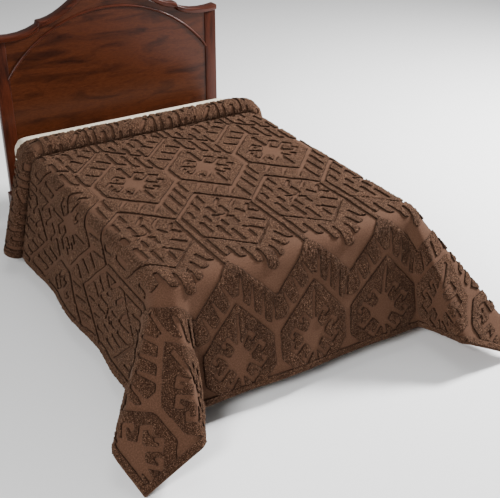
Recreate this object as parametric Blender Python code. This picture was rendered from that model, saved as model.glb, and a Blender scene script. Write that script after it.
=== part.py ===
"""A tufted chenille bedspread draped over a plain full-size bed.

Metres, +Z up. The origin is on the floor below the middle of the mattress,
+Y runs to the head of the bed, and +X is the right side seen from the foot.
"""

import math

import bmesh
import bpy
import numpy as np

# The bed under the cloth.
MATTRESS_WIDTH = 1.37
MATTRESS_LENGTH = 1.91
MATTRESS_TOP = 0.6406
MATTRESS_BOTTOM = 0.400
MATTRESS_CORNER = 0.090
MATTRESS_EDGE = 0.075
FOUNDATION_BOTTOM = 0.200
FOUNDATION_INSET = 0.006
FOUNDATION_CORNER = 0.040
FOUNDATION_EDGE = 0.012
RAIL_THICKNESS = 0.026
RAIL_HEIGHT = 0.120
RAIL_TOP = 0.270
RAIL_GAP = 0.004
SLAT_HEIGHT = 0.020
SLAT_WIDTH = 0.080
SLAT_PLACES = (-0.75, -0.25, 0.25, 0.75)
BEAM_HEIGHT = 0.060
BEAM_WIDTH = 0.045
LEG_SIZE = 0.060
SEAT_GAP = 0.0003

# The headboard stands a little behind the mattress.
HEADBOARD_FRONT = 1.040
PANEL_THICKNESS = 0.024
POST_WIDTH = 0.075
POST_THICKNESS = 0.045
HEADBOARD_HALF = 0.690
PANEL_BOTTOM = 0.400
CAP_HEIGHT = 0.032
CAP_OVERHANG = 0.020
CAP_BACK = 0.006
PANEL_SETBACK = 0.006
PANEL_GAP = 0.0012
NOTCH_STEP = 0.004
SHOULDER_Z = 1.180
SHOULDER_DIP = 0.012
SHOULDER_RISE = 0.028
NOTCH_X = 0.423
NOTCH_Z = 1.226
CREST_Z = 1.405

# The cloth. Flat sizes: u runs across the bed and v along it, both from the middle of the bed.
CLOTH_THICKNESS = 0.003
CLOTH_TOP = MATTRESS_TOP + 0.0004 + CLOTH_THICKNESS
BEND_INSET = 0.110
BEND_LINE_X = MATTRESS_WIDTH / 2 - BEND_INSET
BEND_LINE_Y = MATTRESS_LENGTH / 2 - BEND_INSET
FALL = 0.666
BEND_START = 0.045
BEND_LENGTH = 0.110
SIDE_FLARE = 0.195
FOOT_FLARE = 0.225
WAVE_HEIGHT = 0.022
CREASE_Y = 0.576

# Folds of a foot corner: outward shares of the hanging direction, to the side and to the foot.
LEFT_CORNER = (
    ("side", 0.210, -0.060),
    ("side wing", 0.532, 0.390),
    ("tip", 0.397, 0.530),
    ("foot wing", 0.147, 0.657),
    ("foot", 0.005, 0.225),
)
RIGHT_CORNER = (
    ("side", 0.200, 0.000),
    ("side wing", 0.430, 0.550),
    ("tip", 0.285, 0.600),
    ("foot wing", 0.015, 0.655),
    ("foot", 0.070, 0.215),
)
WING_ROUNDING = 0.050

# The rolled head end: distance past the crease, and height above the cloth.
ROLL_SECTION = (
    (0.000, 0.000),
    (-0.010, 0.014),
    (-0.012, 0.034),
    (0.004, 0.060),
    (0.040, 0.074),
    (0.078, 0.062),
    (0.104, 0.040),
    (0.126, 0.036),
    (0.156, 0.036),
    (0.176, 0.020),
    (0.168, 0.002),
    (0.150, -0.002),
    (0.125, -0.002),
)
ROLL_STEPS_PER_POINT = 2
ROLL_HEIGHT_AT_EDGE = 0.62
ROLL_HEIGHT_AT_HEM = 1.15

TOP_COLUMNS = 14
TOP_ROWS = 14
RETURN_COLUMNS = 5
PANEL_COLUMNS = 6
ARC_STEPS = 60


def clear_scene():
    """Remove the objects of the startup scene."""
    for thing in list(bpy.data.objects):
        bpy.data.objects.remove(thing, do_unlink=True)


def make_material(name, color, roughness, metallic=0.0):
    """A plain Principled material."""
    material = bpy.data.materials.new(name)
    material.use_nodes = True
    shader = material.node_tree.nodes["Principled BSDF"]
    shader.inputs["Base Color"].default_value = (*color, 1.0)
    shader.inputs["Roughness"].default_value = roughness
    shader.inputs["Metallic"].default_value = metallic
    material.diffuse_color = (*color, 1.0)
    return material


def add_object(name, points, faces, material, smooth_angle=None):
    """Make one object from its points and faces."""
    mesh = bpy.data.meshes.new(name)
    mesh.from_pydata([tuple(point) for point in points], [], faces)
    mesh.materials.append(material)
    mesh.update()
    if smooth_angle is not None:
        mesh.shade_smooth()
        mesh.set_sharp_from_angle(angle=smooth_angle)
    made = bpy.data.objects.new(name, mesh)
    bpy.context.collection.objects.link(made)
    return made


def smooth_step(value):
    """Ease from 0 to 1."""
    t = min(max(value, 0.0), 1.0)
    return t * t * (3.0 - 2.0 * t)


def add_board(name, low, high, material, bevel=0.002):
    """A straight board between two corners, with eased edges."""
    bm = bmesh.new()
    bmesh.ops.create_cube(bm, size=1.0)
    size = [high[axis] - low[axis] for axis in range(3)]
    middle = [(high[axis] + low[axis]) / 2 for axis in range(3)]
    for vertex in bm.verts:
        for axis in range(3):
            vertex.co[axis] = middle[axis] + vertex.co[axis] * size[axis]
    bmesh.ops.bevel(bm, geom=bm.edges[:], offset=bevel, segments=1, affect="EDGES")
    mesh = bpy.data.meshes.new(name)
    bm.to_mesh(mesh)
    bm.free()
    mesh.materials.append(material)
    made = bpy.data.objects.new(name, mesh)
    bpy.context.collection.objects.link(made)
    return made


def rounded_outline(half_x, half_y, radius, corner_steps):
    """Points of a rectangle with round corners, anticlockwise from above."""
    points = []
    corners = ((1, 1, 0), (-1, 1, 1), (-1, -1, 2), (1, -1, 3))
    for sign_x, sign_y, quarter in corners:
        for step in range(corner_steps + 1):
            angle = math.pi / 2 * (quarter + step / corner_steps)
            x = sign_x * (half_x - radius) + radius * math.cos(angle)
            y = sign_y * (half_y - radius) + radius * math.sin(angle)
            points.append((x, y))
    return points


def add_padded_block(name, half_x, half_y, bottom, top, corner, edge, material):
    """A mattress-like block: round corners in plan, round edges above and below."""
    edge_steps = 3
    corner_steps = 6
    levels = []
    for step in range(edge_steps + 1):
        angle = math.pi / 2 * step / edge_steps
        levels.append((edge * (1 - math.sin(angle)), bottom + edge * (1 - math.cos(angle))))
    for step in range(edge_steps + 1):
        angle = math.pi / 2 * step / edge_steps
        levels.append((edge * (1 - math.cos(angle)), top - edge * (1 - math.sin(angle))))
    points = []
    for inset, z in levels:
        radius = max(corner - inset, 0.004)
        outline = rounded_outline(half_x - inset, half_y - inset, radius, corner_steps)
        points += [(x, y, z) for x, y in outline]
    count = 4 * (corner_steps + 1)
    faces = [tuple(reversed(range(count)))]
    for level in range(len(levels) - 1):
        for index in range(count):
            after = (index + 1) % count
            low = level * count
            high = low + count
            faces.append((low + index, low + after, high + after, high + index))
    faces.append(tuple(range((len(levels) - 1) * count, len(levels) * count)))
    return add_object(name, points, faces, material, math.radians(50))


def headboard_top(x):
    """Height of the headboard's upper outline at a distance from the middle."""
    x = abs(x)
    if x > NOTCH_X:
        across = (x - NOTCH_X) / (HEADBOARD_HALF - NOTCH_X)
        dip = 4.0 * across * (1.0 - across) * SHOULDER_DIP
        return SHOULDER_Z + SHOULDER_RISE * (1.0 - across) ** 3 - dip
    rise = 0.5 + 0.5 * math.cos(math.pi * x / NOTCH_X)
    return NOTCH_Z + (CREST_Z - NOTCH_Z) * rise


def headboard_stations():
    """Distances from the middle where the upper outline has a point, from left to right."""
    arch = [NOTCH_X * step / 12 for step in range(13)]
    shoulder_width = HEADBOARD_HALF - NOTCH_X
    shoulder = [NOTCH_X + NOTCH_STEP + (shoulder_width - NOTCH_STEP) * step / 5 for step in range(6)]
    half = arch + shoulder
    return [-x for x in reversed(half[1:])] + half


def add_plate(name, upper, lower, front, back, material):
    """A plate between an upper and a lower line of (x, z), from front to back in y."""
    count = len(upper)
    points = []
    for y in (front, back):
        points += [(x, y, z) for x, z in lower]
        points += [(x, y, z) for x, z in upper]
    faces = []
    rear = 2 * count
    for index in range(count - 1):
        low = index
        high = count + index
        faces.append((low, low + 1, high + 1, high))
        faces.append((rear + low, rear + high, rear + high + 1, rear + low + 1))
        faces.append((high, high + 1, rear + high + 1, rear + high))
        faces.append((low, rear + low, rear + low + 1, low + 1))
    faces.append((0, count, rear + count, rear))
    last = count - 1
    faces.append((last, rear + last, rear + count + last, count + last))
    return add_object(name, points, faces, material)


def add_headboard(wood):
    """Panel, shaped cap and two posts that reach the floor."""
    stations = headboard_stations()
    post_edge = HEADBOARD_HALF - POST_WIDTH - SEAT_GAP
    inner = [x for x in stations if abs(x) < post_edge]
    inner = [-post_edge] + inner + [post_edge]
    panel_front = HEADBOARD_FRONT + PANEL_SETBACK
    upper = [(x, headboard_top(x) - CAP_HEIGHT - PANEL_GAP) for x in inner]
    lower = [(x, PANEL_BOTTOM) for x in inner]
    add_plate("headboard_panel", upper, lower, panel_front, panel_front + PANEL_THICKNESS, wood)
    cap_upper = [(x, headboard_top(x)) for x in stations]
    cap_lower = [(x, headboard_top(x) - CAP_HEIGHT) for x in stations]
    cap_front = HEADBOARD_FRONT - CAP_OVERHANG
    cap_back = HEADBOARD_FRONT + POST_THICKNESS + CAP_BACK
    add_plate("headboard_cap", cap_upper, cap_lower, cap_front, cap_back, wood)
    for name, side in (("headboard_post_left", -1), ("headboard_post_right", 1)):
        outer = side * HEADBOARD_HALF
        inside = side * (HEADBOARD_HALF - POST_WIDTH)
        places = sorted((outer, inside))
        line = [places[0], (places[0] + places[1]) / 2, places[1]]
        post_upper = [(x, headboard_top(x) - CAP_HEIGHT - 2 * SEAT_GAP) for x in line]
        post_lower = [(x, 0.0) for x in line]
        back = HEADBOARD_FRONT + POST_THICKNESS
        add_plate(name, post_upper, post_lower, HEADBOARD_FRONT, back, wood)


def add_frame(wood):
    """Rails, slats, a middle beam and the legs, all under the cloth."""
    half_x = MATTRESS_WIDTH / 2
    half_y = MATTRESS_LENGTH / 2
    rail_inner = half_x + RAIL_GAP
    rail_outer = rail_inner + RAIL_THICKNESS
    low_z = RAIL_TOP - RAIL_HEIGHT
    foot_inner = -half_y - RAIL_GAP
    foot_outer = foot_inner - RAIL_THICKNESS
    rail_end = HEADBOARD_FRONT - SEAT_GAP
    for name, side in (("rail_left", -1), ("rail_right", 1)):
        xs = sorted((side * rail_inner, side * rail_outer))
        low = (xs[0], foot_inner + SEAT_GAP, low_z)
        high = (xs[1], rail_end, RAIL_TOP)
        add_board(name, low, high, wood)
    low = (-rail_outer, foot_outer, low_z)
    high = (rail_outer, foot_inner, RAIL_TOP)
    add_board("rail_foot", low, high, wood)
    slat_top = FOUNDATION_BOTTOM - SEAT_GAP
    slat_bottom = slat_top - SLAT_HEIGHT
    for number, y in enumerate(SLAT_PLACES, start=1):
        low = (-rail_inner + SEAT_GAP, y - SLAT_WIDTH / 2, slat_bottom)
        high = (rail_inner - SEAT_GAP, y + SLAT_WIDTH / 2, slat_top)
        add_board(f"slat_{number}", low, high, wood)
    beam_top = slat_bottom - SEAT_GAP
    beam_bottom = beam_top - BEAM_HEIGHT
    low = (-BEAM_WIDTH / 2, foot_inner + SEAT_GAP, beam_bottom)
    high = (BEAM_WIDTH / 2, SLAT_PLACES[-1] + SLAT_WIDTH, beam_top)
    add_board("middle_beam", low, high, wood)
    half_leg = LEG_SIZE / 2
    low = (-half_leg, -half_leg, 0.0)
    high = (half_leg, half_leg, beam_bottom - SEAT_GAP)
    add_board("middle_leg", low, high, wood)
    for name, side in (("foot_leg_left", -1), ("foot_leg_right", 1)):
        xs = sorted((side * (rail_outer - LEG_SIZE), side * rail_outer))
        low = (xs[0], foot_outer, 0.0)
        high = (xs[1], foot_outer + LEG_SIZE, low_z - SEAT_GAP)
        add_board(name, low, high, wood)


def direction(outward_side, outward_foot):
    """A unit direction that hangs down, from its two outward shares."""
    down = math.sqrt(1.0 - outward_side**2 - outward_foot**2)
    return np.array((outward_side, outward_foot, -down))


def great_arc(start, end, steps):
    """Unit directions from start to end, evenly spaced."""
    angle = math.acos(min(1.0, float(start @ end)))
    shares = np.linspace(0.0, 1.0, steps + 1)
    return [
        (math.sin((1 - s) * angle) * start + math.sin(s * angle) * end) / math.sin(angle)
        for s in shares
    ]


def corner_path(folds, reach):
    """Directions around a foot corner: side, wing, tip, wing, foot."""
    stops = [direction(reach * to_side, reach * to_foot) for _, to_side, to_foot in folds]
    stops[0] = direction(*folds[0][1:])
    stops[-1] = direction(*folds[-1][1:])
    path = [stops[0]]
    for start, end in zip(stops, stops[1:]):
        path += great_arc(start, end, ARC_STEPS)[1:]
    return np.array(path)


def path_lengths(path):
    """Distance run along a path of directions at each of its points."""
    steps = np.linalg.norm(np.diff(path, axis=0), axis=1)
    return np.concatenate(([0.0], np.cumsum(steps)))


def round_path(path, reach):
    """Ease the sharp turns of a path over a distance, keeping its ends."""
    along = path_lengths(path)
    eased = []
    for place in along:
        window = min(reach, place, along[-1] - place)
        near = np.abs(along - place) <= window + 1e-9
        mean = path[near].mean(axis=0)
        eased.append(mean / np.linalg.norm(mean))
    return np.array(eased)


def corner_directions(folds):
    """Path of hanging directions whose length is the quarter turn that the flat cloth has."""
    low, high = 0.8, 1.2
    for _ in range(30):
        reach = (low + high) / 2
        path = round_path(corner_path(folds, reach), WING_ROUNDING)
        if path_lengths(path)[-1] < math.pi / 2:
            low = reach
        else:
            high = reach
    return path, path_lengths(path)


def corner_direction(path, along, angle):
    """Hanging direction at a flat angle from the side (0) to the foot (a quarter turn)."""
    share = angle / (math.pi / 2) * along[-1]
    mixed = [np.interp(share, along, path[:, axis]) for axis in range(3)]
    return np.array(mixed) / np.linalg.norm(mixed)


def corner_angles(along):
    """Flat angles of the corner's columns, with more of them at the wings."""
    first_turn = along[ARC_STEPS]
    last_turn = along[3 * ARC_STEPS]
    half = WING_ROUNDING
    angles = list(np.linspace(0.0, first_turn - half, RETURN_COLUMNS))
    angles.append(first_turn)
    angles += list(np.linspace(first_turn + half, last_turn - half, PANEL_COLUMNS))
    angles.append(last_turn)
    angles += list(np.linspace(last_turn + half, along[-1], RETURN_COLUMNS))
    return [angle * math.pi / 2 / along[-1] for angle in angles]


def fall_points(flat_way, hang_way, distances):
    """Offsets of a line of cloth that turns from flat to hanging, at the given distances."""
    angle = math.acos(min(1.0, max(-1.0, float(flat_way @ hang_way))))
    offsets = []
    position = np.zeros(3)
    reached = 0.0
    step = 0.004
    for distance in distances:
        while reached < distance - 1e-9:
            part = min(step, distance - reached)
            share = smooth_step((reached + part / 2 - BEND_START) / BEND_LENGTH)
            first = math.sin((1 - share) * angle) * flat_way
            second = math.sin(share * angle) * hang_way
            position = position + (first + second) / math.sin(angle) * part
            reached += part
        offsets.append(position.copy())
    return offsets


def side_hang(folds, v):
    """Hanging direction of a side at a place along the bed: the corner's own, then soft waves."""
    run = (v + BEND_LINE_Y) / (CREASE_Y + BEND_LINE_Y)
    calm = smooth_step(run * 4.0)
    _, flare, lean = folds[0]
    wave = WAVE_HEIGHT * math.sin(2.0 * math.pi * (2.3 * run + 0.1))
    return direction(flare + calm * (SIDE_FLARE + wave - flare), lean * (1.0 - calm))


def foot_hang(u):
    """Hanging direction of the foot end at a place across the bed, in soft waves."""
    run = (u + BEND_LINE_X) / (2.0 * BEND_LINE_X)
    from_left = smooth_step(run * 3.5)
    from_right = smooth_step((1.0 - run) * 3.5)
    _, left_lean, left_flare = LEFT_CORNER[-1]
    _, right_lean, right_flare = RIGHT_CORNER[-1]
    wave = 0.8 * WAVE_HEIGHT * math.sin(2.0 * math.pi * (1.7 * run + 0.55))
    calm = from_left * from_right
    flare = left_flare * (1.0 - from_left) + right_flare * (1.0 - from_right)
    flare += calm * (FOOT_FLARE + wave)
    lean = right_lean * (1.0 - from_right) - left_lean * (1.0 - from_left)
    return direction(lean, flare)


def roll_curve():
    """Points of the rolled head end, from a smooth curve through the section's points."""
    knots = [np.array(point) for point in ROLL_SECTION]
    knots = [2 * knots[0] - knots[1]] + knots + [2 * knots[-1] - knots[-2]]
    curve = []
    for index in range(1, len(knots) - 2):
        before, start, end, after = knots[index - 1 : index + 3]
        for step in range(ROLL_STEPS_PER_POINT):
            t = step / ROLL_STEPS_PER_POINT
            curve.append(
                0.5
                * (
                    2 * start
                    + (end - before) * t
                    + (2 * before - 5 * start + 4 * end - after) * t**2
                    + (3 * start - before - 3 * end + after) * t**3
                )
            )
    curve.append(knots[-2])
    return curve


def row_distances():
    """Distances from the bend line where the hanging cloth has a row of points."""
    bend = [BEND_START + BEND_LENGTH * step / 6 for step in range(7)]
    below = bend[-1]
    hang = [below + (FALL - below) * step / 6 for step in range(1, 7)]
    return [BEND_START / 2] + bend + hang


def roll_height_share(distance):
    """How tall the roll is at a distance past the bend line: full on top, lower over the edge."""
    over_edge = smooth_step(distance / (BEND_START + BEND_LENGTH))
    down_side = smooth_step((distance - BEND_START - BEND_LENGTH) / (FALL - BEND_START - BEND_LENGTH))
    share = 1.0 + (ROLL_HEIGHT_AT_EDGE - 1.0) * over_edge
    return share + (ROLL_HEIGHT_AT_HEM - ROLL_HEIGHT_AT_EDGE) * down_side


def cloth_surface():
    """Outer surface of the cloth: its points and faces."""
    points = []
    faces = []
    rows = row_distances()
    roll = roll_curve()
    columns = [-BEND_LINE_X + 2 * BEND_LINE_X * step / TOP_COLUMNS for step in range(TOP_COLUMNS + 1)]
    lines = [-BEND_LINE_Y + (CREASE_Y + BEND_LINE_Y) * step / TOP_ROWS for step in range(TOP_ROWS)]
    line_places = [(v, 0.0) for v in lines] + [(CREASE_Y + t, n) for t, n in roll]

    def put(x, y, z):
        points.append((x, y, z))
        return len(points) - 1

    top = [[put(u, y, CLOTH_TOP + n) for u in columns] for y, n in line_places]
    for upper, lower in zip(top, top[1:]):
        for index in range(TOP_COLUMNS):
            faces.append((upper[index], upper[index + 1], lower[index + 1], lower[index]))

    def side_strip(side):
        """Columns of points down one side, one list for each line along the bed."""
        strip = []
        folds = LEFT_CORNER if side < 0 else RIGHT_CORNER
        for number, (y, n) in enumerate(line_places):
            hang = side_hang(folds, min(y, CREASE_Y))
            falls = fall_points(np.array((1.0, 0.0, 0.0)), hang, rows)
            edge = 0 if side < 0 else TOP_COLUMNS
            line = [top[number][edge]]
            before = np.zeros(3)
            for place, (distance, fall) in enumerate(zip(rows, falls)):
                after = falls[min(place + 1, len(falls) - 1)]
                along = after - before
                along = along / np.linalg.norm(along)
                height = n * roll_height_share(distance) if n > 0 else n
                out = fall + height * np.array((-along[2], 0.0, along[0]))
                line.append(put(side * (BEND_LINE_X + out[0]), y - fall[1], CLOTH_TOP + out[2]))
                before = fall
            strip.append(line)
        for upper, lower in zip(strip, strip[1:]):
            for index in range(len(rows)):
                face = (upper[index], upper[index + 1], lower[index + 1], lower[index])
                faces.append(face if side > 0 else tuple(reversed(face)))
        return strip

    strips = {side: side_strip(side) for side in (-1, 1)}
    foot = []
    for index, u in enumerate(columns):
        line = [top[0][index]]
        for fall in fall_points(np.array((0.0, 1.0, 0.0)), foot_hang(u), rows):
            line.append(put(u + fall[0], -BEND_LINE_Y - fall[1], CLOTH_TOP + fall[2]))
        foot.append(line)
    for left, right in zip(foot, foot[1:]):
        for index in range(len(rows)):
            faces.append((left[index + 1], right[index + 1], right[index], left[index]))

    for side in (-1, 1):
        edge = 0 if side < 0 else TOP_COLUMNS
        path, along = corner_directions(LEFT_CORNER if side < 0 else RIGHT_CORNER)
        angles = corner_angles(along)
        fan = [strips[side][0]]
        for angle in angles[1:-1]:
            flat_way = np.array((math.cos(angle), math.sin(angle), 0.0))
            stretch = 1.0 / max(math.cos(angle), math.sin(angle))
            distances = [distance * stretch for distance in rows]
            line = [top[0][edge]]
            hang = corner_direction(path, along, angle)
            for fall in fall_points(flat_way, hang, distances):
                x = side * (BEND_LINE_X + fall[0])
                line.append(put(x, -BEND_LINE_Y - fall[1], CLOTH_TOP + fall[2]))
            fan.append(line)
        fan.append(foot[edge])
        for first, second in zip(fan, fan[1:]):
            for index in range(len(rows)):
                if index == 0:
                    face = (first[0], second[1], first[1])
                else:
                    face = (first[index], second[index], second[index + 1], first[index + 1])
                faces.append(face if side > 0 else tuple(reversed(face)))
    return np.array(points), faces


def point_normals(points, faces):
    """Outward direction at each point, weighted by the angles of its faces."""
    normals = np.zeros_like(points)
    for face in faces:
        count = len(face)
        for place in range(count):
            here = points[face[place]]
            to_next = points[face[(place + 1) % count]] - here
            to_last = points[face[place - 1]] - here
            cross = np.cross(to_next, to_last)
            size = np.linalg.norm(cross)
            if size > 1e-12:
                cosine = to_next @ to_last / np.linalg.norm(to_next) / np.linalg.norm(to_last)
                normals[face[place]] += cross / size * math.acos(min(1.0, max(-1.0, cosine)))
    return normals / np.linalg.norm(normals, axis=1)[:, None]


def split_faces(points, faces):
    """Triangles of the faces, each four-sided one cut along its shorter diagonal."""
    triangles = []
    for face in faces:
        if len(face) == 3:
            triangles.append(face)
            continue
        a, b, c, d = face
        if np.linalg.norm(points[a] - points[c]) < np.linalg.norm(points[b] - points[d]):
            triangles += [(a, b, c), (a, c, d)]
        else:
            triangles += [(a, b, d), (b, c, d)]
    return triangles


def add_bedspread(cloth):
    """The whole cloth as one thick sheet, with its outer surface where the cloth shows."""
    outer, faces = cloth_surface()
    faces = split_faces(outer, faces)
    inner = outer - point_normals(outer, faces) * CLOTH_THICKNESS
    count = len(outer)
    edges = {}
    for face in faces:
        for place, start in enumerate(face):
            end = face[(place + 1) % len(face)]
            edges[(start, end)] = True
    rim = [(start, end) for start, end in edges if (end, start) not in edges]
    solid = list(faces)
    solid += [tuple(index + count for index in reversed(face)) for face in faces]
    solid += [(end, start, start + count, end + count) for start, end in rim]
    made = add_object("bedspread", np.vstack((outer, inner)), solid, cloth, math.radians(70))
    return made


def main():
    """Build every piece."""
    clear_scene()
    cloth = make_material("brown chenille", (0.085, 0.048, 0.030), 0.95)
    ticking = make_material("cream sheet", (0.74, 0.68, 0.56), 0.90)
    wood = make_material("mahogany", (0.155, 0.040, 0.018), 0.38)
    half_x = MATTRESS_WIDTH / 2
    half_y = MATTRESS_LENGTH / 2
    add_padded_block(
        "mattress",
        half_x,
        half_y,
        MATTRESS_BOTTOM,
        MATTRESS_TOP,
        MATTRESS_CORNER,
        MATTRESS_EDGE,
        ticking,
    )
    add_padded_block(
        "foundation",
        half_x - FOUNDATION_INSET,
        half_y - FOUNDATION_INSET,
        FOUNDATION_BOTTOM,
        MATTRESS_BOTTOM - SEAT_GAP,
        FOUNDATION_CORNER,
        FOUNDATION_EDGE,
        ticking,
    )
    add_headboard(wood)
    add_frame(wood)
    add_bedspread(cloth)


main()
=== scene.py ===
import math
import bpy
import numpy as np
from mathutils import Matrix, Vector


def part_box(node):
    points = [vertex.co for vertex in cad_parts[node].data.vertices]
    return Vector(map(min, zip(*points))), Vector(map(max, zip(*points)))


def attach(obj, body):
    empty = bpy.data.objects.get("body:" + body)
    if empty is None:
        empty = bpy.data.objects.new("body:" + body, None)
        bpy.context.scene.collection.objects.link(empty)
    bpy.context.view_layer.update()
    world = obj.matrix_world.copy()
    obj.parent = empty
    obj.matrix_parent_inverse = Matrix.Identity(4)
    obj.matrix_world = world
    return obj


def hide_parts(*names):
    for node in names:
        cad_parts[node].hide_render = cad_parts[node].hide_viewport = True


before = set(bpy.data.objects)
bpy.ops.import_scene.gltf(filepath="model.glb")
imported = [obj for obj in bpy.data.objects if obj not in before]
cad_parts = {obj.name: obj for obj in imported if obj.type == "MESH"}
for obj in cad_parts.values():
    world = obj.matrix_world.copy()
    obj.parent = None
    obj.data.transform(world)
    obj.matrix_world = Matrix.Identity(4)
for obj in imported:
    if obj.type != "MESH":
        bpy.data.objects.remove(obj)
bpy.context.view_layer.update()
bpy.ops.object.select_all(action="DESELECT")
print("frame loaded")

# The cloth's own sizes, in metres. They repeat those of the solid that it stands for.
drape = {
    "top": 0.644,
    "bendX": 0.575,          # where the cloth starts to fall, from the middle of the bed
    "bendY": 0.845,
    "fall": 0.666,
    "bendStart": 0.045,
    "bendLength": 0.110,
    "sideFlare": 0.195,
    "footFlare": 0.225,
    "wave": 0.022,
    "creaseY": 0.576,
    "wingRounding": 0.050,
    "step": 0.004,
    # outward shares to the side and to the foot: side, side wing, tip, foot wing, foot
    "leftCorner": ((0.210, -0.060), (0.532, 0.390), (0.397, 0.530), (0.147, 0.657), (0.005, 0.225)),
    "rightCorner": ((0.200, 0.000), (0.430, 0.550), (0.285, 0.600), (0.015, 0.655), (0.070, 0.215)),
    # the rolled head end: distance past the crease, height above the cloth
    "roll": (
        (0.000, 0.000), (-0.010, 0.014), (-0.012, 0.034), (0.004, 0.060), (0.040, 0.074),
        (0.078, 0.062), (0.104, 0.040), (0.126, 0.036), (0.156, 0.036), (0.176, 0.020),
        (0.168, 0.002), (0.150, -0.002), (0.125, -0.002),
    ),
    "rollAtEdge": 0.62,
    "rollAtHem": 1.15,
}


def ease(x):
    t = np.clip(x, 0.0, 1.0)
    return t * t * (3.0 - 2.0 * t)


def hangWay(toSide, toFoot):
    return np.array((toSide, toFoot, -math.sqrt(1.0 - toSide ** 2 - toFoot ** 2)))


def fallCurve(flatWay, hang, count):
    # offsets of a line of cloth that turns from flat to hanging, every few millimetres
    angle = math.acos(min(1.0, max(-1.0, float(flatWay @ hang))))
    middles = (np.arange(count) + 0.5) * drape["step"]
    share = ease((middles - drape["bendStart"]) / drape["bendLength"])
    ways = np.sin((1.0 - share) * angle)[:, None] * flatWay + np.sin(share * angle)[:, None] * hang
    return np.vstack((np.zeros(3), np.cumsum(ways / math.sin(angle) * drape["step"], axis=0)))


def arcBetween(start, end, steps):
    angle = math.acos(min(1.0, float(start @ end)))
    share = np.linspace(0.0, 1.0, steps + 1)[:, None]
    return (np.sin((1.0 - share) * angle) * start + np.sin(share * angle) * end) / math.sin(angle)


def lengthsAlong(path):
    return np.concatenate(([0.0], np.cumsum(np.linalg.norm(np.diff(path, axis=0), axis=1))))


def cornerPath(folds):
    # hanging directions around a foot corner, as long as the quarter turn of the flat cloth
    tight, wide = 0.8, 1.2
    for _ in range(30):
        reach = (tight + wide) / 2
        stops = [hangWay(reach * toSide, reach * toFoot) for toSide, toFoot in folds]
        stops[0] = hangWay(*folds[0])
        stops[-1] = hangWay(*folds[-1])
        path = [stops[0]]
        for start, end in zip(stops, stops[1:]):
            path += list(arcBetween(start, end, 60)[1:])
        path = np.array(path)
        along = lengthsAlong(path)
        eased = []
        for place in along:
            window = min(drape["wingRounding"], place, along[-1] - place)
            mean = path[np.abs(along - place) <= window + 1e-9].mean(axis=0)
            eased.append(mean / np.linalg.norm(mean))
        path = np.array(eased)
        along = lengthsAlong(path)
        if along[-1] < math.pi / 2:
            tight = reach
        else:
            wide = reach
    return path, along


def sideHang(folds, y):
    run = (y + drape["bendY"]) / (drape["creaseY"] + drape["bendY"])
    calm = float(ease(run * 4.0))
    flare, lean = folds[0]
    wave = drape["wave"] * math.sin(2.0 * math.pi * (2.3 * run + 0.1))
    return hangWay(flare + calm * (drape["sideFlare"] + wave - flare), lean * (1.0 - calm))


def footHang(u):
    run = (u + drape["bendX"]) / (2.0 * drape["bendX"])
    fromLeft = float(ease(run * 3.5))
    fromRight = float(ease((1.0 - run) * 3.5))
    leftLean, leftFlare = drape["leftCorner"][-1]
    rightLean, rightFlare = drape["rightCorner"][-1]
    wave = 0.8 * drape["wave"] * math.sin(2.0 * math.pi * (1.7 * run + 0.55))
    flare = leftFlare * (1.0 - fromLeft) + rightFlare * (1.0 - fromRight)
    flare += fromLeft * fromRight * (drape["footFlare"] + wave)
    return hangWay(rightLean * (1.0 - fromRight) - leftLean * (1.0 - fromLeft), flare)


def rollLine(steps):
    knots = [np.array(point, float) for point in drape["roll"]]
    knots = [2 * knots[0] - knots[1]] + knots + [2 * knots[-1] - knots[-2]]
    line = []
    for index in range(1, len(knots) - 2):
        a, b, c, d = knots[index - 1:index + 3]
        for step in range(steps):
            t = step / steps
            bent = (2 * a - 5 * b + 4 * c - d) * t ** 2 + (3 * b - a - 3 * c + d) * t ** 3
            line.append(0.5 * (2 * b + (c - a) * t + bent))
    line.append(knots[-2])
    line = np.array(line)
    return line, lengthsAlong(line)


# Tables of the falling cloth: down each side, around each foot corner and down the foot.
stations = {"side": 143, "corner": 181, "foot": 116}
fallCount = int(drape["fall"] / drape["step"]) + 6
cornerCount = int(drape["fall"] * math.sqrt(2) / drape["step"]) + 6
sideTables, cornerTables = {}, {}
for side, folds in ((-1, drape["leftCorner"]), (1, drape["rightCorner"])):
    outward = np.array((1.0, 0.0, 0.0))
    sideTables[side] = np.array([
        fallCurve(outward, sideHang(folds, y), fallCount)
        for y in np.linspace(-drape["bendY"], drape["creaseY"], stations["side"])
    ])
    path, along = cornerPath(folds)
    rows = []
    for angle in np.linspace(0.0, math.pi / 2, stations["corner"]):
        share = angle / (math.pi / 2) * along[-1]
        hang = np.array([np.interp(share, along, path[:, axis]) for axis in range(3)])
        flatWay = np.array((math.cos(angle), math.sin(angle), 0.0))
        rows.append(fallCurve(flatWay, hang / np.linalg.norm(hang), cornerCount))
    cornerTables[side] = np.array(rows)
footTable = np.array([
    fallCurve(np.array((0.0, 1.0, 0.0)), footHang(u), fallCount)
    for u in np.linspace(-drape["bendX"], drape["bendX"], stations["foot"])
])
rollShape, rollAlong = rollLine(16)
rollLength = float(rollAlong[-1])
print("drape worked out, roll", round(rollLength, 3))


def lookUp(table, row, distance):
    column = distance / drape["step"]
    r = np.clip(np.floor(row).astype(int), 0, table.shape[0] - 2)
    c = np.clip(np.floor(column).astype(int), 0, table.shape[1] - 2)
    fr = (row - r)[:, None]
    fc = (column - c)[:, None]
    before = table[r, c] * (1 - fc) + table[r, c + 1] * fc
    after = table[r + 1, c] * (1 - fc) + table[r + 1, c + 1] * fc
    return before * (1 - fr) + after * fr


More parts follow.
